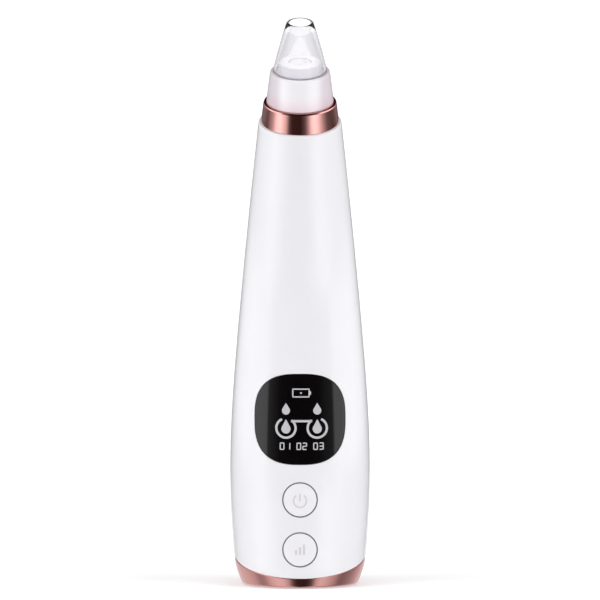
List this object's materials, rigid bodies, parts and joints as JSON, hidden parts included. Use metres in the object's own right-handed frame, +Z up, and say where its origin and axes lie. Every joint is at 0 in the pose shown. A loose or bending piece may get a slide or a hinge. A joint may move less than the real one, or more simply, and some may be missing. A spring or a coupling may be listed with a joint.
{
  "type": "blackhead vacuum extractor",
  "caption": "Handheld pore vacuum: bottle-shaped body with a forward-leaning nose, clear conical suction tip, curved display window, two press buttons and a plated base ring.",
  "frame": {"origin": "middle of the flat underside, on the surface the device stands on", "axes": "+Z up along the body; the front, with the window and buttons, faces -Y; +X is to the right of someone who faces the front"},
  "size_m": [0.044, 0.052, 0.1798],
  "materials": {
    "clear_plastic": "clear polycarbonate, polished",
    "white_gloss": "white ABS, high gloss",
    "sponge": "open-cell filter foam",
    "silicone": "grey silicone, matt",
    "white_plastic": "white ABS, satin",
    "rose_plate": "rose-gold vacuum plating, mirror",
    "base_plastic": "pale ABS, fine texture",
    "pad_rubber": "soft rubber pad",
    "steel": "zinc-plated steel",
    "black_window": "smoked black PMMA, polished",
    "led": "small LED bodies",
    "black_plastic": "black glass-filled plastic",
    "circuit_board": "green solder mask on fibreglass",
    "wire": "insulated stranded wire",
    "cell_sleeve": "heat-shrink sleeve",
    "nickel": "nickel plating",
    "foam": "closed-cell foam",
    "magnet": "ferrite",
    "copper_core": "laminated steel and copper windings",
    "brass": "brass tabs",
    "pale_nylon": "natural nylon",
    "valve_rubber": "black EPDM rubber"
  },
  "bodies": {
    "housing": {"tip_seal": "silicone", "nozzle_seat": "white_plastic", "nose_collar": "rose_plate", "front_shell": "white_gloss", "rear_shell": "white_gloss", "shell_posts": "white_plastic", "base_trim": "rose_plate", "base_plate": "base_plastic", "base_pad": "pad_rubber", "base_screws": "steel", "display_window": "black_window", "display_frame": "white_plastic", "display_leds": "led", "switch_bodies": "black_plastic", "main_board": "circuit_board", "board_chips": "black_plastic", "board_screws": "steel", "charge_board": "circuit_board", "charging_socket": "steel", "socket_tongue": "black_plastic", "charge_leads": "wire", "battery_cell": "cell_sleeve", "battery_cap": "nickel", "battery_pad": "foam", "battery_leads": "wire", "inner_frame": "white_plastic", "frame_screws": "steel", "motor_can": "steel", "motor_magnets": "magnet", "motor_end_cap": "pale_nylon", "motor_terminals": "brass", "motor_leads": "wire", "motor_damper": "foam", "motor_screws": "steel", "pump_base": "black_plastic", "pump_diaphragm": "valve_rubber", "valve_plate": "black_plastic", "valve_flaps": "valve_rubber", "pump_head": "black_plastic", "pump_screws": "steel", "suction_hose": "silicone"},
    "power_key": {"power_button": "white_gloss", "power_plunger": "black_plastic"},
    "mode_key": {"mode_button": "white_gloss", "mode_plunger": "black_plastic"},
    "suction_head": {"suction_tip": "clear_plastic", "tip_skirt": "white_gloss", "filter_sponge": "sponge"},
    "rotor": {"motor_armature": "copper_core", "motor_shaft": "steel", "crank_wheel": "pale_nylon", "drive_pin": "steel", "wobble_disc": "pale_nylon"}
  },
  "joints": [
    {"name": "power_press", "type": "slide", "parent": "housing", "child": "power_key", "axis": [0, 1, 0], "range_m": [0, 0.0005], "stiffness_N_per_m": 1500, "springref_m": -0.0003},
    {"name": "mode_press", "type": "slide", "parent": "housing", "child": "mode_key", "axis": [0, 1, 0], "range_m": [0, 0.0005], "stiffness_N_per_m": 1500, "springref_m": -0.0003},
    {"name": "head_pull", "type": "slide", "parent": "housing", "child": "suction_head", "axis": [0, -0.3338, 0.9426], "range_m": [0, 0.012]},
    {"name": "rotor_spin", "type": "hinge", "parent": "housing", "child": "rotor", "pos_m": [0, -0.00332, 0.10009], "axis": [0, -0.1512, 0.9885], "continuous": true}
  ]
}
